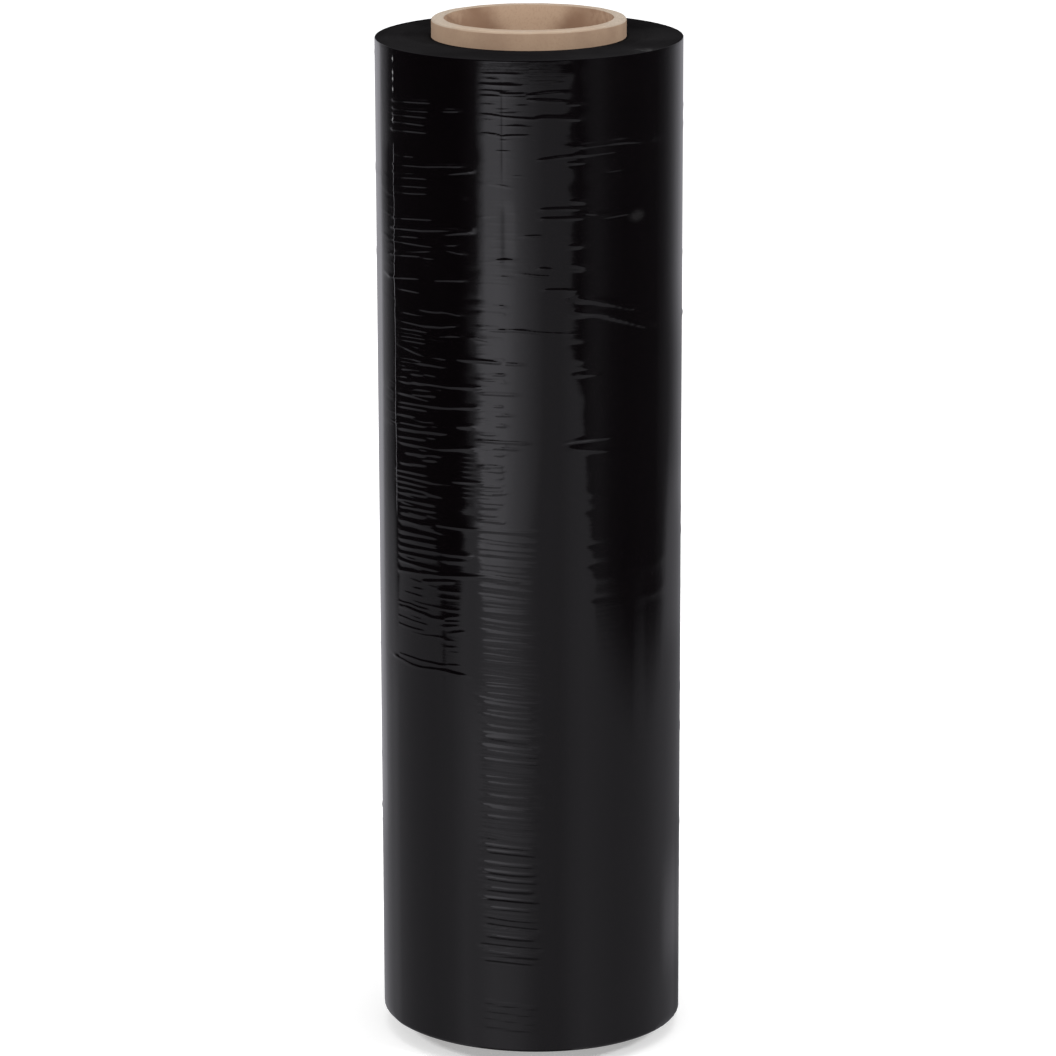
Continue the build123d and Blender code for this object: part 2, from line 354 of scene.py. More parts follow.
# How much narrower the winding is at its foot, in millimetres
TAPER = 0.13
MM_PER_DEGREE = 1.21
# Degrees over which creases run out at their ends, and millimetres that they bow
LONG_RUN_OUT, MIDDLE_RUN_OUT, SHORT_RUN_OUT = 2.2, 2.0, 1.0
RUN_OUT_SPARE = 0.4
CREASE_BOW = 0.25
# Where the loose edge is pulled tight low down and held at the top: heights in millimetres.
# Its step runs out there over a few degrees.
EDGE_TIGHT = (242.0, 264.0)
EDGE_HELD = (408.0, 416.0)
EDGE_RUN_OUT = 7.0
# Where the loose edge lifts into bright points: heights in millimetres, and their lift and half height
EDGE_POINTS = (452.5, 446.5, 443.6, 439.0, 425.5)
POINT_LIFT, POINT_TALL = 0.36, 1.1
# How the loose edge curls out, in millimetres: everywhere, and in waves of a size, a length and a lag
CURL = 0.13
CURL_WAVES = [(0.12, 9.0, 0.0), (0.09, 3.3, 1.0)]
# A small pale spot: degrees from the front and height in millimetres
PALE_SPOT_PLACE = (43.2, 384.9)


def smooth(x, low, high):
    """0 below low, 1 above high."""
    t = np.clip((x - low) / (high - low), 0.0, 1.0)
    return t * t * (3 - 2 * t)


def crease_height(angle, height, crease, taper):
    """How far one crease stands out at the given places, in millimetres."""
    left, left_height, right, right_height, lift, half_width = crease
    share = (angle - left) / (right - left)
    # some creases sag a little and the others arch
    bow = CREASE_BOW if (left_height * 10) % 2 < 1 else -CREASE_BOW
    line = left_height + (right_height - left_height) * share + bow * np.sin(np.pi * np.clip(share, 0, 1))
    starts = smooth(angle, left - RUN_OUT_SPARE, left + taper)
    ends = starts * (1 - smooth(angle, right - taper, right + RUN_OUT_SPARE))
    across = (height - line) / half_width
    return lift * ends * np.exp(-across * across)


def random_creases(draw, count, angles, heights, lengths, lifts, half_width, slope):
    """Creases scattered over a patch of the side."""
    rows = []
    for _ in range(count):
        left = draw.uniform(*angles)
        length = draw.uniform(*lengths)
        low = draw.uniform(*heights)
        rise = length * slope * draw.uniform(-1, 1)
        lift = draw.uniform(*lifts)
        rows.append((left, low, left + length, low + rise, lift, half_width * draw.uniform(0.8, 1.2)))
    return rows


def ripples(draw, low, high, spacing, lifts, half_widths):
    """Fine creases one under the other down the bright band, a little lower at their right ends."""
    rows = []
    height = low
    while height < high:
        left = draw.uniform(-19.6, -17.2)
        right = draw.uniform(1.0, 4.2)
        fall = (right - left) * draw.uniform(0.05, 0.13)
        lift = draw.uniform(*lifts) * draw.choice((1.0, 1.0, -1.0))
        rows.append((left, height, right, height - fall, lift, draw.uniform(*half_widths)))
        height += draw.uniform(*spacing)
    return rows


def add_creases(relief, angle, height, rows, taper):
    """Add each crease to the relief where it isn't flat."""
    for row in rows:
        left, left_height, right, right_height, _, half_width = row
        middle = (left_height + right_height) / 2
        near = np.abs(height - middle) < abs(right_height - left_height) / 2 + 5 * half_width
        near &= (angle > left - 2) & (angle < right + 2)
        if near.any():
            relief[near] += crease_height(angle[near], height[near], row, taper)


def film_relief(angle, height):
    """How far the film's side stands out of a plain turned surface, in millimetres.

    angle is in degrees from the front, from -180 to 180, and height in millimetres up the film."""
    draw = np.random.default_rng(SEED)
    relief = TAPER * (height / (FILM_WIDTH / MM) - 1)
    for waves, size in WIDE_FLATS:
        lag = draw.uniform(0, 2 * math.pi)
        twist = draw.uniform(-0.5, 0.5)
        relief += size * np.sin(np.radians(angle) * waves + lag + twist * height / 150)

    # creases read from the front, and more of the same kind round the rest
    rows = LEFT_CREASES + BAND_CREASES + RIGHT_CREASES
    rows += [ends + kind for kind, alike in ALIKE_CREASES.items() for ends in alike]
    for patch in SCATTERED_CREASES:
        rows += random_creases(draw, *patch)
    add_creases(relief, angle, height, rows, LONG_RUN_OUT)
    fine = []
    for band in BAND_RIPPLES:
        fine += ripples(draw, *band)
    fine += random_creases(draw, *BAND_EDGE_CREASES[0])
    add_creases(relief, angle, height, random_creases(draw, *FRAYED_CREASES), MIDDLE_RUN_OUT)
    for patch in BAND_EDGE_CREASES[1:]:
        fine += random_creases(draw, *patch)
    add_creases(relief, angle, height, fine, SHORT_RUN_OUT)

    for place, level, lift, wide, tall in PUCKERS:
        near = (np.abs(angle - place) < 4 * wide) & (np.abs(height - level) < 4 * tall)
        across, up = (angle[near] - place) / wide, (height[near] - level) / tall
        relief[near] += lift * np.exp(-across * across - up * up)
    for place, low, high, lift, half_width in UPRIGHT_FOLDS:
        fade = (high - low) * 0.3
        along = smooth(height, low, low + fade) * (1 - smooth(height, high - fade, high))
        across = (angle - place) * MM_PER_DEGREE / half_width
        relief += lift * along * np.exp(-across * across)
    return relief


def edge_spiral(angle, height):
    """The last turn winds inwards from the loose edge, so the side steps in there, in millimetres.

    Low down and at the top the edge is pulled tight and the step runs out over a few degrees."""
    past = (angle - EDGE_TURN) % FULL_TURN
    crisp = -past / FULL_TURN * EDGE_STEP / MM
    before = (EDGE_TURN - angle) / EDGE_RUN_OUT
    eased = np.where((before > 0) & (before < 1), -smooth(before, 0, 1) * EDGE_STEP / MM, crisp)
    loose = smooth(height, *EDGE_TIGHT) * (1 - smooth(height, *EDGE_HELD))
    return crisp * loose + eased * (1 - loose)


# Film: the mesh

def add_mesh(name, points, faces, finishes):
    """A smooth mesh with its finishes, linked into the scene."""
    mesh = bpy.data.meshes.new(name)
    mesh.from_pydata(points, [], faces)
    mesh.validate()
    mesh.update()
    for polygon in mesh.polygons:
        polygon.use_smooth = True
    for finish in finishes:
        mesh.materials.append(finish)
    piece = bpy.data.objects.new(name, mesh)
    bpy.context.scene.collection.objects.link(piece)
    return piece


def stepped(start, stop, step):
    """Even steps from start to stop, as near to the given step as they fit."""
    return list(np.linspace(start, stop, max(2, round((stop - start) / step) + 1)))


# Columns of the mesh, in degrees from the front
FRONT_LEFT, RIGHT_FROM, FRONT_RIGHT = -66.0, 26.0, 56.0
FRONT_STEP, RIGHT_STEP, BACK_STEP = 1.6, 3.0, 5.9
EDGE_COLUMNS = (-0.08, 0.02, 0.35)
FOLD_COLUMNS = (-0.8, -0.4, -0.15, 0.15, 0.4, 0.8)
# Degrees between the close columns and the next plain ones
EDGE_CLEAR, EDGE_CLEAR_RIGHT, FOLD_CLEAR = 0.35, 1.2, 1.5
# Rows of the mesh, in millimetres: where the closer ones start, and their spacing
RIPPLED_FROM, CREASED_FROM = 34.0, 172.0
PLAIN_ROW, RIPPLE_ROW, FINE_ROW = 1.1, 0.48, 0.41
ROWS_PER_BACK_ROW = 4
# The lip between the side and the end faces, in millimetres
LIP_R = 0.5
LIP_DEPTH = 0.03
# The end faces, in millimetres: how far they reach under the core's outside, a fine groove
# against the core as steps outwards and depths, and turns that stand a hair higher or lower
CORE_LAP = 0.15
CORE_GROOVE = [(0, 0.8), (0.18, 0.3), (0.26, 0.03)]
END_RINGS = 15
RINGS_FROM, RINGS_SHORT = 2.0, 2.2
LIP_RING = 1.2
END_DEPTHS = (0.02, 0.24)
END_START, END_SWING, END_WAVE = 0.06, 0.10, 0.02
# How far the lower end drops for each millimetre to the right, and the height where that ends
LOWER_END_SLANT = 0.016
SLANT_TOP = 60
# Faces that point up or down by more than this share are the cut edges of the turns
END_FACE_FROM = 0.75


def front_angles():
    """Close columns over the creased front, closer still at the loose edge and at the upright fold."""
    fold = UPRIGHT_FOLDS[0][0]
    columns = stepped(FRONT_LEFT, EDGE_TURN - EDGE_CLEAR, FRONT_STEP)
    columns += [EDGE_TURN + aside for aside in EDGE_COLUMNS]
    columns += stepped(EDGE_TURN + EDGE_CLEAR_RIGHT, fold - FOLD_CLEAR, FRONT_STEP)
    columns += [fold + aside for aside in FOLD_COLUMNS]
    columns += stepped(fold + FOLD_CLEAR, RIGHT_FROM, FRONT_STEP)
    columns += stepped(RIGHT_FROM, FRONT_RIGHT, RIGHT_STEP)[1:]
    return columns


def back_angles():
    """Wider columns over the rest, without the two that the front has."""
    return stepped(FRONT_RIGHT, FRONT_LEFT + FULL_TURN, BACK_STEP)[1:-1]


def side_rows():
    """Heights of the rows up the side, in millimetres, a whole number of the back's rows."""
    levels = (LIP_R, RIPPLED_FROM, CREASED_FROM, FILM_WIDTH / MM - LIP_R)
    rows = []
    for low, high, spacing in zip(levels, levels[1:], (PLAIN_ROW, RIPPLE_ROW, FINE_ROW)):
        count = round((high - low) / spacing / ROWS_PER_BACK_ROW) * ROWS_PER_BACK_ROW
        rows.append(np.linspace(low, high, count + 1)[:-1])
    return np.concatenate(rows + [[levels[-1]]])


def end_profile():
    """Radius and depth of the rings across one end face, from the core outwards, in millimetres."""
    core_r = CORE_OUTER_R / MM - CORE_LAP
    outer = FILM_R / MM - RINGS_SHORT
    draw = np.random.default_rng(SEED + 1)
    rings = [(core_r + aside, depth) for aside, depth in CORE_GROOVE]
    depth = END_START
    for reach in np.linspace(core_r + RINGS_FROM, outer, END_RINGS):
        depth = min(max(depth + draw.uniform(-END_SWING, END_SWING), END_DEPTHS[0]), END_DEPTHS[1])
        rings.append((reach, depth))
    rings.append((outer + LIP_RING, LIP_DEPTH))
    return rings


def lip_profile():
    """Rounding from the end face over to the side: shares of the lip radius inwards and down."""
    return [(1 - math.sin(a), 1 - math.cos(a)) for a in np.radians([22.5, 45.0, 67.5])]


def edge_flutter(angle, height):
    """The loose edge curls out a little where it isn't pressed down, in millimetres."""
    lifted = np.exp(-((angle - EDGE_TURN - 0.3) / 0.8) ** 2) * (angle > EDGE_TURN)
    flutter = CURL + sum(size * np.sin(height / length + lag) for size, length, lag in CURL_WAVES)
    flutter += 0.08 * np.sin(height / 1.4 + 2.0 * np.sin(height / 7.0))
    flutter *= 1 - smooth(height, *EDGE_HELD)
    for level in EDGE_POINTS:
        flutter += POINT_LIFT * np.exp(-((height - level) / POINT_TALL) ** 2)
    return lifted * np.clip(flutter, 0, 1) * smooth(height, *EDGE_TIGHT)


def side_faces(index, fine):
    """Faces of the side: small ones over the front columns, and taller ones round the back."""
    row_count, column_count = index.shape
    faces = []
    for r in range(row_count - 1):
        for c in range(fine - 1):
            faces.append((index[r, c], index[r, c + 1], index[r + 1, c + 1], index[r + 1, c]))
    jump = ROWS_PER_BACK_ROW
    last = column_count - 1
    for r in range(0, row_count - 1, jump):
        # the seams at both sides take in every row of the front
        right_seam = index[r:r + jump + 1, fine - 1][::-1]
        left_seam = index[r:r + jump + 1, 0]
        faces.append((index[r, fine], index[r + jump, fine], *right_seam))
        for c in range(fine, last):
            faces.append((index[r, c], index[r, c + 1], index[r + jump, c + 1], index[r + jump, c]))
        faces.append((index[r, last], *left_seam, index[r + jump, last]))
    return faces


def build_film(finishes):
    """The film's side with its relief, the two lips, the end faces and the wall against the core."""
    front, back = front_angles(), back_angles()
    rows = side_rows()
    columns = np.array(front + back)
    wrapped = (columns + 180.0) % FULL_TURN - 180.0
    fine = len(front)
    height, angle = np.meshgrid(rows, wrapped, indexing="ij")
    radius = FILM_R / MM + edge_spiral(angle, height) + film_relief(angle, height)
    radius += edge_flutter(angle, height)

    # the lower end of the winding runs a little askew, a touch lower on the right
    across = np.sin(np.radians(angle)) * FILM_R / MM
    sink = LOWER_END_SLANT * across * (1 - smooth(height, 0, SLANT_TOP))

    points = []
    index = np.full((len(rows), len(columns)), -1, dtype=int)
    for r in range(len(rows)):
        for c in range(len(columns)):
            if c < fine or r % ROWS_PER_BACK_ROW == 0:
                index[r, c] = len(points)
                turn = math.radians(columns[c])
                reach = radius[r, c] * MM
                z = FILM_BASE + (rows[r] - sink[r, c]) * MM
                points.append((reach * math.sin(turn), -reach * math.cos(turn), z))
    faces = side_faces(index, fine)

    turns = np.radians(columns)

    def ring(reach, depth, top):
        """One ring of points, at a reach and a depth in millimetres for every column."""
        x, y = reach * np.sin(turns), -reach * np.cos(turns)
        z = FILM_TOP / MM - depth if top else FILM_BASE / MM + depth - LOWER_END_SLANT * x
        first = len(points)
        points.extend(np.stack([x, y, z], axis=1) * MM)
        return range(first, len(points))

    def bridge(lower, upper):
        """Faces between two rings that run the same way, seen from outside with lower below."""
        for c in range(len(columns)):
            n = (c + 1) % len(columns)
            faces.append((lower[c], lower[n], upper[n], upper[c]))

    draw = np.random.default_rng(SEED + 2)
    inner_rings = []
    for top in (False, True):
        row = -1 if top else 0
        rings = [index[row]]
        for inward, down in reversed(lip_profile()):
            fall = LIP_DEPTH + down * (LIP_R - LIP_DEPTH)
            rings.append(ring(radius[row] - inward * LIP_R, np.full(len(turns), fall), top))
        lag = draw.uniform(0, 6.28)
        for reach, depth in reversed(end_profile()):
            rings.append(ring(reach, depth + END_WAVE * np.sin(turns * 2 + lag + reach), top))
        for outer, inner in zip(rings, rings[1:]):
            if top:
                bridge(outer, inner)
            else:
                bridge(inner, outer)
        inner_rings.append(rings[-1])
    # the wall against the core closes the winding
    low_ring, top_ring = inner_rings
    bridge(top_ring, low_ring)

    film = add_mesh("film_turns", points, faces, finishes)
    for polygon in film.data.polygons:
        polygon.material_index = 1 if abs(polygon.normal.z) > END_FACE_FROM else 0
    return film


# Core: the mesh

CORE_COLUMNS = 160
CORE_ROWS = 60
# Rounding of the outer and the inner edge of each end, in millimetres, and how far the rims are uneven
CORE_ROUND = 1.4
BORE_EASE = 0.35
RIM_DEEP = 3.0
# Unevenness of the rims: size in millimetres and waves in a turn
RIM_WAVES = [(0.05, 3), (0.04, 7), (0.03, 19)]


def core_section():
    """Half section of the tube in millimetres, up the outside, over the rim and down the bore."""
    outer, bore = CORE_OUTER_R / MM, CORE_BORE_R / MM
    top = CORE_HEIGHT / MM
    rim = []
    for turn in np.radians([0, 15, 30, 45, 60, 75, 90]):
        rim.append((outer - CORE_ROUND * (1 - math.cos(turn)), top - CORE_ROUND * (1 - math.sin(turn))))
    rim += [(outer - 2.2, top), (bore + 2.2, top), (bore + 1.2, top)]
    for turn in np.radians([0, 30, 60, 90]):
        rim.append((bore + BORE_EASE * (1 - math.sin(turn)), top - BORE_EASE * (1 - math.cos(turn))))
    under = [(r, top - z) for r, z in reversed(rim)]
    outside = [(outer, z) for z in np.linspace(CORE_ROUND, top - CORE_ROUND, CORE_ROWS)[1:-1]]
    inside = [(bore, z) for z in np.linspace(top - BORE_EASE, BORE_EASE, CORE_ROWS)[1:-1]]
    return rim, under, outside, inside


def build_core(finishes):
    """The tube, with rims that are a little uneven and frayed along their inner edge."""
    rim, under, outside, inside = core_section()
    section = outside + rim + inside + under
    top = CORE_HEIGHT / MM
    draw = np.random.default_rng(SEED + 3)
    lags = draw.uniform(0, 6.28, 8)
    points, faces = [], []
    bore, outer = CORE_BORE_R / MM, CORE_OUTER_R / MM
    for reach, z in section:
        near_rim = float(smooth(max(z, top - z), top - RIM_DEEP, top))
        for c in range(CORE_COLUMNS):
            turn = 2 * math.pi * c / CORE_COLUMNS
            wobble = sum(size * math.sin(waves * turn + lag) for (size, waves), lag in zip(RIM_WAVES, lags))
            if bore + 0.1 < reach < bore + 1.0:
                wobble += 0.09 * math.sin(29 * turn + lags[5]) * math.sin(11 * turn + lags[6])
                wobble += 0.05 * math.sin(53 * turn + lags[7])
            dip = abs(0.06 * math.sin(5 * turn + lags[3]) + 0.05 * math.sin(13 * turn + lags[4] + reach))
            r, height = reach, z
            if bore + 0.1 < reach < outer - 0.1:
                r += wobble * near_rim
            if bore + 0.2 < reach < outer - 0.2:
                height += dip * near_rim * (-1 if z > top / 2 else 1)
            points.append((r * MM * math.sin(turn), -r * MM * math.cos(turn), height * MM))
    count = len(section)
    for place in range(count):
        follow = (place + 1) % count
        for c in range(CORE_COLUMNS):
            n = (c + 1) % CORE_COLUMNS
            faces.append((
                place * CORE_COLUMNS + c, place * CORE_COLUMNS + n,
                follow * CORE_COLUMNS + n, follow * CORE_COLUMNS + c,
            ))
    return add_mesh("board_tube", points, faces, finishes)


# Finishes

# Film, in linear shares of red, green and blue
FILM_DARK = (0.0012, 0.0007, 0.0010, 1)
FILM_PALE = (0.0019, 0.0012, 0.0016, 1)
# pale grey of painted highlights on the loose edge
FILM_EDGE_HIGHLIGHT = (0.22, 0.22, 0.22, 1)
FILM_PALE_SPOT = (0.0120, 0.0113, 0.0118, 1)
CUT_DARK = (0.0048, 0.0044, 0.0048, 1)
CUT_PALE = (0.0148, 0.0142, 0.0150, 1)
CUT_PALE_PATCH = (0.034, 0.033, 0.034, 1)
FILM_IOR = 1.5
# Radius at which the side is laid out flat for its cloudiness
UNROLLED_R = 0.069
# How fine the stretch lines are, for each radian round the roll and each metre up it
STREAK_SCALE, HAIR_SCALE = (2.0, 900.0), (5.0, 2600.0)
# How fine the rings of the cut edges are, for each metre outwards and each radian
RING_SCALE, BAND_SCALE = (5200.0, 0.6), (700.0, 0.8)
# Where the cut edges have a pale patch by the lip
PALE_PATCH_PLACE = (0.0525, -0.0430)

# Board, as screen values
BOARD_DARK, BOARD_PALE = tone(157, 131, 110), tone(170, 144, 121)
BORE_DARK, BORE_PALE = tone(146, 116, 94), tone(156, 126, 104)
# the pale tone of a painted pool of light on the far wall of the bore
BORE_PAINTED_LIGHT = tone(184, 157, 133)
FIBRE_TONE, SEAM_TONE = tone(146, 116, 94), tone(128, 101, 80)
EDGE_DARK, EDGE_PALE = tone(165, 144, 124), tone(179, 160, 141)
# greyer rim tone, for scuffs and for painted light at the sides of the rims
EDGE_GREY_LIT_AND_SCUFFED, FLECK_TONE = tone(180, 170, 157), tone(160, 134, 112)
BOARD_IOR = 1.45
SEAMS_PER_METRE = 8.9
PLY_RADIANS_PER_METRE = 9500.0
# How far outside the bore the darker, browner tone of the bore ends
BORE_TONE_EDGE = (0.0006, 0.0012)


def film_finish():
    """Glossy black film with hair-fine stretch lines round the roll."""
    material, graph = new_material("black_film")
    x, y, z = graph.parts(graph.place())
    turn = x.math("ARCTAN2", y)
    unrolled = graph.vector(turn * UNROLLED_R, 0.0, z)
    streaks = graph.noise(graph.vector(turn * STREAK_SCALE[0], 0.0, z * STREAK_SCALE[1]), 1.0, 3.0)
    hairs = graph.noise(graph.vector(turn * HAIR_SCALE[0], 3.0, z * HAIR_SCALE[1]), 1.0, 2.0)
    cloud = graph.noise(unrolled, 38.0, 3.0)
    dimples = graph.noise(unrolled, 260.0, 2.0)
    colour = graph.blend(cloud, FILM_DARK, FILM_PALE)

    # painted highlights: the loose edge is painted pale at a few points high up, where it catches the light
    edge = math.radians(EDGE_TURN + 0.25)
    off_edge = (x * math.cos(edge) + y * math.sin(edge)).math("ABSOLUTE").rises(0.0003, 0.0007)
    in_front = 1 - y.rises(-0.02, 0.0)
    off_points = [(z - (FILM_BASE + level * MM)).math("ABSOLUTE") for level in EDGE_POINTS]
    painted_highlights = sum(1 - off.rises(0.0003, 0.0010) for off in off_points)
    colour = graph.blend(painted_highlights * (1 - off_edge) * in_front, colour, FILM_EDGE_HIGHLIGHT)

    # a small pale spot on the right, wider than it is tall
    spot_turn = math.radians(PALE_SPOT_PLACE[0])
    aside = x - FILM_R * math.sin(spot_turn)
    behind = y + FILM_R * math.cos(spot_turn)
    above = z - (FILM_BASE + PALE_SPOT_PLACE[1] * MM)
    away = ((aside * aside + behind * behind) * 0.35 + above * above) ** 0.5
    colour = graph.blend(1 - away.rises(0.0005, 0.0038), colour, FILM_PALE_SPOT)

    lines = graph.bump(streaks * 0.8 + hairs * 0.2, 0.04 * MM, 0.55)
    shader = graph.add("ShaderNodeBsdfPrincipled", None, {
        "Base Color": colour,
        "Roughness": 0.06 + cloud.rises(0.35, 0.75) * 0.04 + streaks * 0.02,
        "Normal": graph.bump(dimples, 0.06 * MM, 0.35, lines),
        "IOR": FILM_IOR,
    })
    graph.finish(shader)
    return material


def film_end_finish():
    """The cut edges of all the turns: matt, with fine rings, a painted sheen that is paler at the front, and
    a pale patch at one place by the lip.
    """
    material, graph = new_material("cut_film")
    place = graph.place()
    x, y, _ = graph.parts(place)
    turn = x.math("ARCTAN2", y)
    reach = (x * x + y * y) ** 0.5
    rings = graph.noise(graph.vector(reach * RING_SCALE[0], turn * RING_SCALE[1], 7.0), 1.0, 3.0)
    bands = graph.noise(graph.vector(reach * BAND_SCALE[0], turn * BAND_SCALE[1], 3.0), 1.0, 2.0)
    dust = graph.noise(place, 900.0, 2.0)
    uneven = graph.noise(place, 26.0, 3.0, 0.6).rises(0.3, 0.7)
    # rings, bands and patches of dust, with a painted sheen that makes the cut edges paler at the front and
    # darker towards the back
    dust_and_sheen = rings * 0.5 + bands * 0.3 + uneven * 0.45 - y.rises(-0.01, 0.06) * 0.42
    colour = graph.blend(dust_and_sheen, CUT_DARK, CUT_PALE)
    aside, behind = x - PALE_PATCH_PLACE[0], y - PALE_PATCH_PLACE[1]
    by_lip = 1 - ((aside * aside + behind * behind) ** 0.5).rises(0.002, 0.009)
    pale_patch = by_lip * graph.noise(place, 420.0, 3.0).rises(0.40, 0.62)
    shader = graph.add("ShaderNodeBsdfPrincipled", None, {
        "Base Color": graph.blend(pale_patch, colour, CUT_PALE_PATCH),
        "Roughness": 0.45 + rings * 0.2,
        "Normal": graph.bump(rings + dust * 0.3, 0.10 * MM, 0.6),
        "IOR": FILM_IOR,
        "Specular IOR Level": 0.0,
    })
    graph.finish(shader)
    return material


def board_finish():
    """Brown paperboard: fibres, faint helical ply seams, and the edges of the plies on the cut ends."""
    material, graph = new_material("core_board")
    place = graph.place()
    x, y, z = graph.parts(place)
    turn = x.math("ARCTAN2", y)
    reach = (x * x + y * y) ** 0.5
    sideways = x.math("ABSOLUTE")
    up_face = graph.parts(graph.add("ShaderNodeNewGeometry", None, None, "Normal"))[2]
    cut = up_face.math("ABSOLUTE").rises(0.15, 0.45)

    fibre_place = graph.vector(turn * 40.0 + z * 300.0, z * 9.0 + turn * 0.16, z * 900.0 - turn * 20.0)
    fibres = graph.noise(fibre_place, 1.0, 4.0, 0.6)
    mottle = graph.noise(place, 55.0, 4.0, 0.55)
    mottled = mottle.rises(0.3, 0.7)
    fleck = graph.noise(place, 620.0, 2.0, 0.5)
    helix = (z * SEAMS_PER_METRE + turn / (2 * math.pi) + 10.0).math("FRACT")
    seam = helix.rises(0.0, 0.012) * (1 - helix.rises(0.988, 1.0))
    plies = (reach * PLY_RADIANS_PER_METRE).math("SINE")

    # inside the bore the board is darker and browner; a painted pool of light makes it paler on the far wall
    # below the mouth, with paler painted patches of light near the mouth's sides
    inside_bore = 1 - reach.rises(CORE_BORE_R + BORE_TONE_EDGE[0], CORE_BORE_R + BORE_TONE_EDGE[1])
    depth = CORE_HEIGHT - z
    blotch = graph.noise(place, 130.0, 3.0, 0.6)
    far_wall = (0.0178 - depth * 0.77) - sideways + (blotch - 0.5) * 0.010
    near_mouth = sideways.rises(0.022, 0.034) * (0.036 - depth * 2.0).rises(0.008, 0.024)
    painted_light = far_wall.rises(-0.009, 0.004) + near_mouth * blotch.rises(0.35, 0.65) * 0.7
    painted_light = painted_light * y.rises(-0.004, 0.01)
    inner = graph.blend(mottled, BORE_DARK, BORE_PALE)
    inner = graph.blend(painted_light, inner, BORE_PAINTED_LIGHT)
    body = graph.blend(mottled, BOARD_DARK, BOARD_PALE)
    body = graph.blend(inside_bore, body, inner)
    body = graph.blend(fibres.rises(0.45, 0.8) * 0.35, body, FIBRE_TONE)
    body = graph.blend((1 - seam) * 0.35, body, SEAM_TONE)

    # the cut ends show the plies as fine rings, with scuffs here and there; they are also painted greyer and
    # paler towards the sides, as painted light falling from the sides
    sides_lit_and_scuffed = sideways.rises(0.026, 0.040) * 0.5
    sides_lit_and_scuffed = sides_lit_and_scuffed + fleck.rises(0.5, 0.75) * mottle.rises(0.45, 0.65) * 0.8
    edge = graph.blend(plies * 0.5 + 0.5, EDGE_DARK, EDGE_PALE)
    edge = graph.blend(sides_lit_and_scuffed, edge, EDGE_GREY_LIT_AND_SCUFFED)
    edge = graph.blend(fleck.rises(0.55, 0.8) * 0.4, edge, FLECK_TONE)

    relief = graph.bump(fibres * 0.6 + mottle * 0.4, 0.12 * MM, 0.5)
    relief = graph.bump(seam, 0.20 * MM, 0.5, relief)
    relief = graph.bump((plies * 0.3 + fleck) * cut, 0.18 * MM, 0.6, relief)
    shader = graph.add("ShaderNodeBsdfPrincipled", None, {
        "Base Color": graph.blend(cut, body, edge),
        "Roughness": 0.78 + mottle * 0.14,
        "Normal": relief,
        "IOR": BOARD_IOR,
    })
    graph.finish(shader)
    return material


# The roll

film = build_film([film_finish(), film_end_finish()])
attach(film, "root")
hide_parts("film_winding")

core = build_core([board_finish()])
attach(core, "root")
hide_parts("core_tube")


# Camera

PHOTO_SIDE_PX = 1056
FOCAL_PX = 4958.0
SENSOR = 36.0
# Metres from the roll's axis and above the film
CAMERA_BACK = 2.2038
CAMERA_RISE = 0.34033
# Degrees that it looks down, aside and askew
CAMERA_DOWN = 14.451
CAMERA_YAW = 0.0263
CAMERA_ROLL = -0.161

lens = bpy.data.cameras.new("viewpoint")
lens.lens = FOCAL_PX / PHOTO_SIDE_PX * SENSOR
lens.sensor_width = SENSOR
lens.clip_start = 0.01
camera = bpy.data.objects.new("viewpoint", lens)
aim = Matrix.Rotation(math.radians(CAMERA_YAW), 4, "Z")
aim = aim @ Matrix.Rotation(math.radians(90 - CAMERA_DOWN), 4, "X")
aim = aim @ Matrix.Rotation(math.radians(CAMERA_ROLL), 4, "Z")
camera.matrix_world = Matrix.Translation((0, -CAMERA_BACK, FILM_TOP + CAMERA_RISE)) @ aim
bpy.context.scene.collection.objects.link(camera)
bpy.context.scene.camera = camera


# Floor, studio and light

# The studio's glow, as shares of red, green and blue
GLOW_TINT = (0.98, 0.97, 1.04)


def add_stage(name, points, faces, finish):
    """A part of the surroundings."""
    piece = add_mesh(name, points, faces, [finish])
    return piece


def only_in_reflections(piece):
    piece.visible_camera = False
    piece.visible_diffuse = False
    piece.visible_shadow = False
    piece.visible_transmission = False


def glow(name, level):
    """A finish of an even brightness, or of one that a function of its graph gives."""
    material, graph = new_material(name)
    if callable(level):
        shade = level(graph)
        colour = graph.vector(*[shade * share for share in GLOW_TINT])
    else:
        colour = [level * share for share in GLOW_TINT] + [1.0]
    graph.finish(graph.add("ShaderNodeEmission", None, {"Color": colour}))
    return material


# What the film mirrors: black cloth to the left and the right, a soft light to the front left,
# pale walls behind. Pairs of degrees round the roll, 0 at the camera and rising to the right,
# and brightness.
UPPER_LEVELS = [
    (-180, 0.36), (-164, 0.47), (-157, 0.62), (-150, 0.69), (-144, 0.74), (-137, 0.25), (-129, 0.05),
    (-108, 0.022), (-50, 0.010), (-43, 0.03), (-37.4, 0.07), (-34, 0.58), (-30.5, 1.10), (-22, 1.14),
    (-14, 1.00), (-8, 0.70), (0, 0.46), (10, 0.31), (27.6, 0.28), (29.6, 0.07), (34, 0.03), (43, 0.11),
    (50, 0.13), (60, 0.06), (72, 0.035), (106, 0.035), (115, 0.075), (125, 0.18), (135, 0.34), (145, 0.46),
    (156, 0.46), (168, 0.36),
]
LOWER_LEVELS = [
    (-180, 0.30), (-164, 0.48), (-154, 0.535), (-144, 0.57), (-134, 0.29), (-119, 0.31), (-96, 0.27),
    (-75, 0.28), (-60, 0.35), (-48, 0.49), (-38, 0.52), (-26, 0.62), (-14, 0.58), (-8, 0.52), (0, 0.40),
    (8, 0.31), (20, 0.30), (28, 0.37), (38, 0.41), (50, 0.37), (64, 0.31), (80, 0.29), (104, 0.29),
    (126, 0.25), (144, 0.21), (154, 0.20), (164, 0.22), (180, 0.30),
]
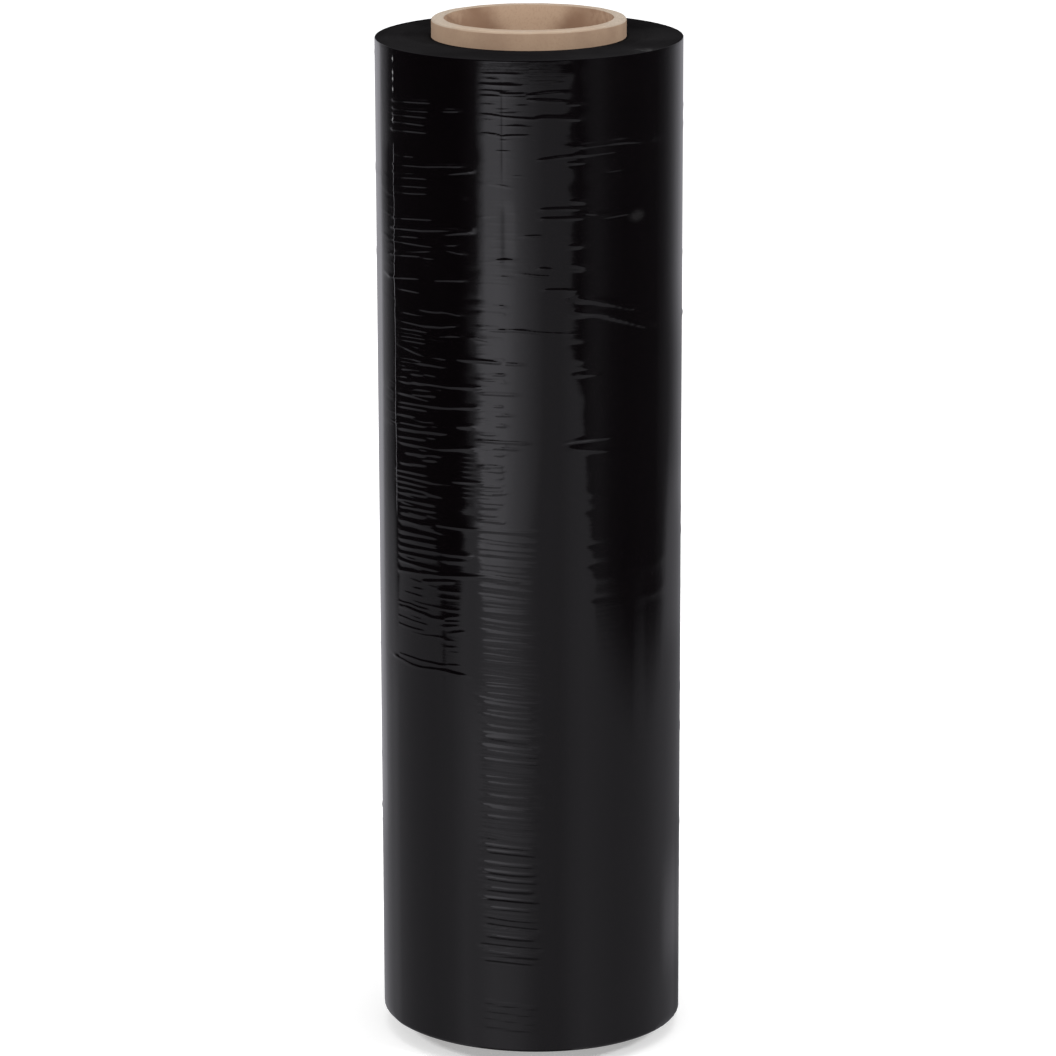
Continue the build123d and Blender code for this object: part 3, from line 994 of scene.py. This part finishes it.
# How high the cloth and the soft light end above the floor, as a share of EDGE_HIGH
LOWER_EDGES = [
    (-180, 0.25), (-114, 0.25), (-108, 0.40), (-84, 0.37), (-74, 0.33), (-70, 0.30), (-67.6, 0.22),
    (-66.6, 0.135), (-65.4, 0.135), (-64.2, 0.22), (-57, 0.24), (-52, 0.28), (-44, 0.46), (-38, 0.44),
    (-32, 0.29), (-8, 0.28), (6, 0.50), (24, 0.83), (30, 0.76), (37, 0.64), (43, 0.44), (49, 0.26),
    (68, 0.15), (79, 0.10), (83, 0.16), (89, 0.18), (95, 0.12), (104, 0.13), (113, 0.17), (119, 0.34),
    (126, 0.46), (180, 0.46),
]
EDGE_HIGH = 0.30
# Softness of the cloth's lower edge in metres, and what is added on the right and far to the left
EDGE_SOFT, EDGE_SOFT_RIGHT, EDGE_SOFT_FAR_LEFT = 0.014, 0.030, 0.060
# The soft light ends at this height, and its left edge leans, in degrees for each metre down
LIGHT_TOP = 0.385
LIGHT_LEAN = 24.0
LEAN_FROM = 0.27
HIGH_LEVEL = 0.34
# The wall: metres from the roll's axis and up, and degrees from one of its points to the next
WALL_REACH = 0.56
WALL_LOW, WALL_HIGH = -1.2, 1.3
WALL_STEP, CEILING_STEP = 2, 6


def share_of_turn(degrees):
    """A bearing as a share of a turn: 0 behind the roll, 0.5 at the camera, rising to the right."""
    return (degrees + 180.0) / FULL_TURN


class Wall:
    """The shaded point of the studio wall, with smooth passages round the roll and up it."""

    def __init__(self, graph):
        self.graph = graph
        x, y, self.height = graph.parts(graph.place())
        self.place = x.math("ARCTAN2", y * -1.0) / (2 * math.pi) + 0.5

    def ramp(self, levels, lean=0.0):
        """Brightness by bearing, from pairs of degrees and brightness."""
        stops = [(share_of_turn(degrees), level) for degrees, level in levels]
        return self.graph.add("ShaderNodeValToRGB", {"stops": stops}, {0: self.place + lean})

    def beyond(self, start, full):
        """0 to the left of one bearing and 1 to the right of another."""
        return self.place.rises(share_of_turn(start), share_of_turn(full))

    def between(self, start, full, fading, end):
        """1 between two bearings."""
        return self.beyond(start, full) * (1 - self.beyond(fading, end))

    def layer(self, start, full, fading, end):
        """1 between two heights."""
        return self.height.rises(start, full) - self.height.rises(fading, end)


def cloth_and_light(wall):
    """Brightness above the cloth's lower edge."""
    # the soft light: its left edge leans outwards towards its foot, and it is brightest half way up
    light = wall.between(-50, -40, 0, 12)
    lean = (LEAN_FROM - wall.height).math("MAXIMUM", 0.0) * (1 - wall.beyond(-20, 0))
    swell = 1.0 + 0.20 * wall.layer(0.12, 0.18, 0.26, 0.31)
    swell = swell + 0.14 * (1 - wall.height.rises(0.12, 0.18))
    veil = wall.between(-47, -35, -35, -31) * (1 - wall.height.rises(0.20, 0.29))
    level = wall.ramp(UPPER_LEVELS, lean * (LIGHT_LEAN / FULL_TURN))
    level = level * (1 - light + light * swell) + veil * 0.30

    # a haze far round to the left, and less light far round to the right
    haze = (1 - wall.beyond(-130, -114)) * wall.layer(0.02, 0.06, 0.25, 0.30)
    dimmed = haze * 0.12 * (1 - wall.beyond(-154, -146))
    level = level * (1 - dimmed) + haze * 0.13 * wall.beyond(-152, -143)
    return level * (1 - wall.beyond(112, 124) * 0.35 * wall.layer(0.12, 0.15, 0.20, 0.26))


def below_the_cloth(wall):
    """Brightness under the cloth's lower edge, where the pale room shows."""
    light = wall.between(-50, -40, 0, 12)
    level = wall.ramp(LOWER_LEVELS) * (1 + light * (wall.layer(-0.10, -0.01, 0.01, 0.045) * 0.24 - 0.08))
    flare = wall.layer(-0.17, -0.13, -0.12, -0.07) * 0.6 + wall.height.rises(0.03, 0.06) * 0.25
    level = level * (1 + wall.beyond(112, 124) * flare)
    behind = (1 - wall.beyond(-145, -132)) + wall.beyond(138, 150)
    level = level * (1 - behind * 0.35 * (1 - wall.height.rises(-0.10, -0.04)))

    # far below, the pale floor shows under the cloth, but not under the soft light
    deep = wall.layer(-0.62, -0.50, -0.30, -0.20)
    level = level * wall.height.rises(-0.62, -0.50) * (1 - deep)
    return level + deep * (0.75 - wall.between(-44, -37, 29, 31) * 0.59)


def studio_levels(graph):
    """Brightness all over the studio wall."""
    wall = Wall(graph)
    soft = EDGE_SOFT + wall.beyond(44, 54) * EDGE_SOFT_RIGHT
    soft = soft + (1 - wall.beyond(-124, -112)) * EDGE_SOFT_FAR_LEFT
    above = ((wall.height - wall.ramp(LOWER_EDGES) * EDGE_HIGH) / soft).rises(-1.0, 1.0)
    level = below_the_cloth(wall) * (1 - above) + cloth_and_light(wall) * above

    # a dark gap over the soft light, and an even tone above all
    gap = wall.between(-44, -37, 29, 31) * wall.layer(LIGHT_TOP - 0.008, LIGHT_TOP + 0.008, 0.60, 0.75)
    high = wall.height.rises(0.60, 0.80)
    return (level * (1 - gap) + gap * 0.035) * (1 - high) + high * HIGH_LEVEL


def round_the_roll(degrees, z):
    """A point of the studio wall at a bearing in degrees and a height."""
    turn = math.radians(degrees)
    return (WALL_REACH * math.sin(turn), -WALL_REACH * math.cos(turn), z)


def build_studio():
    """The wall and the ceiling that the gloss mirrors. They give no light and hide nothing."""
    points, faces = [], []
    for degrees in range(-180, 181, WALL_STEP):
        points += [round_the_roll(degrees, WALL_LOW), round_the_roll(degrees, WALL_HIGH)]
    for first in range(0, len(points) - 2, 2):
        faces.append((first, first + 2, first + 3, first + 1))
    only_in_reflections(add_stage("studio_wall", points, faces, glow("studio_tone", studio_levels)))
    points = [round_the_roll(degrees, WALL_HIGH) for degrees in range(0, 360, CEILING_STEP)]
    ceiling = [tuple(range(len(points)))]
    only_in_reflections(add_stage("studio_ceiling", points, ceiling, glow("ceiling_tone", HIGH_LEVEL)))


def shown_directly(graph):
    """1 for what the camera, a gloss or a clear surface shows, 0 for light that falls on things."""
    rays = ("Is Camera Ray", "Is Glossy Ray", "Is Transmission Ray")
    camera, glossy, clear = [graph.add("ShaderNodeLightPath", None, None, ray) for ray in rays]
    return camera.math("MAXIMUM", glossy).math("MAXIMUM", clear)


FLOOR_REACH = 12.0
FLOOR_TONE = (0.86, 0.86, 0.86, 1)
# The floor is lifted towards white where it is seen: near the roll, and what is added further off
FLOOR_LIFT, FLOOR_LIFT_FAR = 0.36, 0.30
FLOOR_FAR = (0.25, 1.1)
# The world's level as light. Where it is seen it is 1.
WORLD_LIGHT = 0.50


def floor_finish():
    """Pale paper, lifted towards white where it is seen."""
    material, graph = new_material("pale_floor")
    x, y, _ = graph.parts(graph.place())
    away = (x * x + y * y) ** 0.5
    lift = shown_directly(graph) * (FLOOR_LIFT + away.rises(*FLOOR_FAR) * FLOOR_LIFT_FAR)
    paper = graph.add("ShaderNodeBsdfDiffuse", None, {"Color": FLOOR_TONE})
    white = graph.add("ShaderNodeEmission", None, {"Color": graph.vector(lift, lift, lift)})
    graph.finish(graph.add("ShaderNodeAddShader", None, {0: paper, 1: white}))
    return material


def build_floor():
    corners = [(-1, -1), (1, -1), (1, 1), (-1, 1)]
    points = [(x * FLOOR_REACH, y * FLOOR_REACH, 0) for x, y in corners]
    floor = add_stage("floor", points, [(0, 1, 2, 3)], floor_finish())
    floor.visible_glossy = False


def build_world():
    """A pale background, half as strong for the light that it gives."""
    world = bpy.data.worlds.new("studio")
    bpy.context.scene.world = world
    world.use_nodes = True
    graph = Graph(world.node_tree)
    pale = WORLD_LIGHT + shown_directly(graph) * (1 - WORLD_LIGHT)
    background = graph.add("ShaderNodeBackground", None, {"Color": graph.vector(pale, pale, pale)})
    graph.finish(background, "ShaderNodeOutputWorld")


def soft_lamp(name, place, size, power, target):
    """A square soft light that faces a point."""
    data = bpy.data.lights.new(name, "AREA")
    data.shape = "SQUARE"
    data.size = size
    data.energy = power
    lamp = bpy.data.objects.new(name, data)
    towards = Vector(target) - Vector(place)
    lamp.matrix_world = Matrix.Translation(place) @ towards.to_track_quat("-Z", "Y").to_matrix().to_4x4()
    lamp.visible_glossy = False
    bpy.context.scene.collection.objects.link(lamp)


def beside_the_core(bearing, rise, distance):
    """A place round the roll, at a bearing and a rise in degrees seen from the top of the core."""
    turn, lift = math.radians(bearing), math.radians(rise)
    flat = distance * math.cos(lift)
    return (flat * math.sin(turn), -flat * math.cos(turn), CORE_HEIGHT + distance * math.sin(lift))


# Lamps: places and sizes in metres, power in watts
OVERHEAD_PLACE = (0.2, -0.3, 2.6)
OVERHEAD_SIZE, OVERHEAD_POWER = 2.0, 18.0
SIDE_BEARING, SIDE_RISE, SIDE_DISTANCE = 58, 28, 2.4
SIDE_SIZE, SIDE_POWER = 0.42, 30.0

build_studio()
build_floor()
build_world()
soft_lamp("soft_overhead", OVERHEAD_PLACE, OVERHEAD_SIZE, OVERHEAD_POWER, (0, 0, FILM_WIDTH / 2))
for name, bearing in (("soft_left", -SIDE_BEARING), ("soft_right", SIDE_BEARING)):
    lamp_place = beside_the_core(bearing, SIDE_RISE, SIDE_DISTANCE)
    soft_lamp(name, lamp_place, SIDE_SIZE, SIDE_POWER, (0, 0, CORE_HEIGHT))

bpy.context.scene.view_settings.view_transform = "Standard"
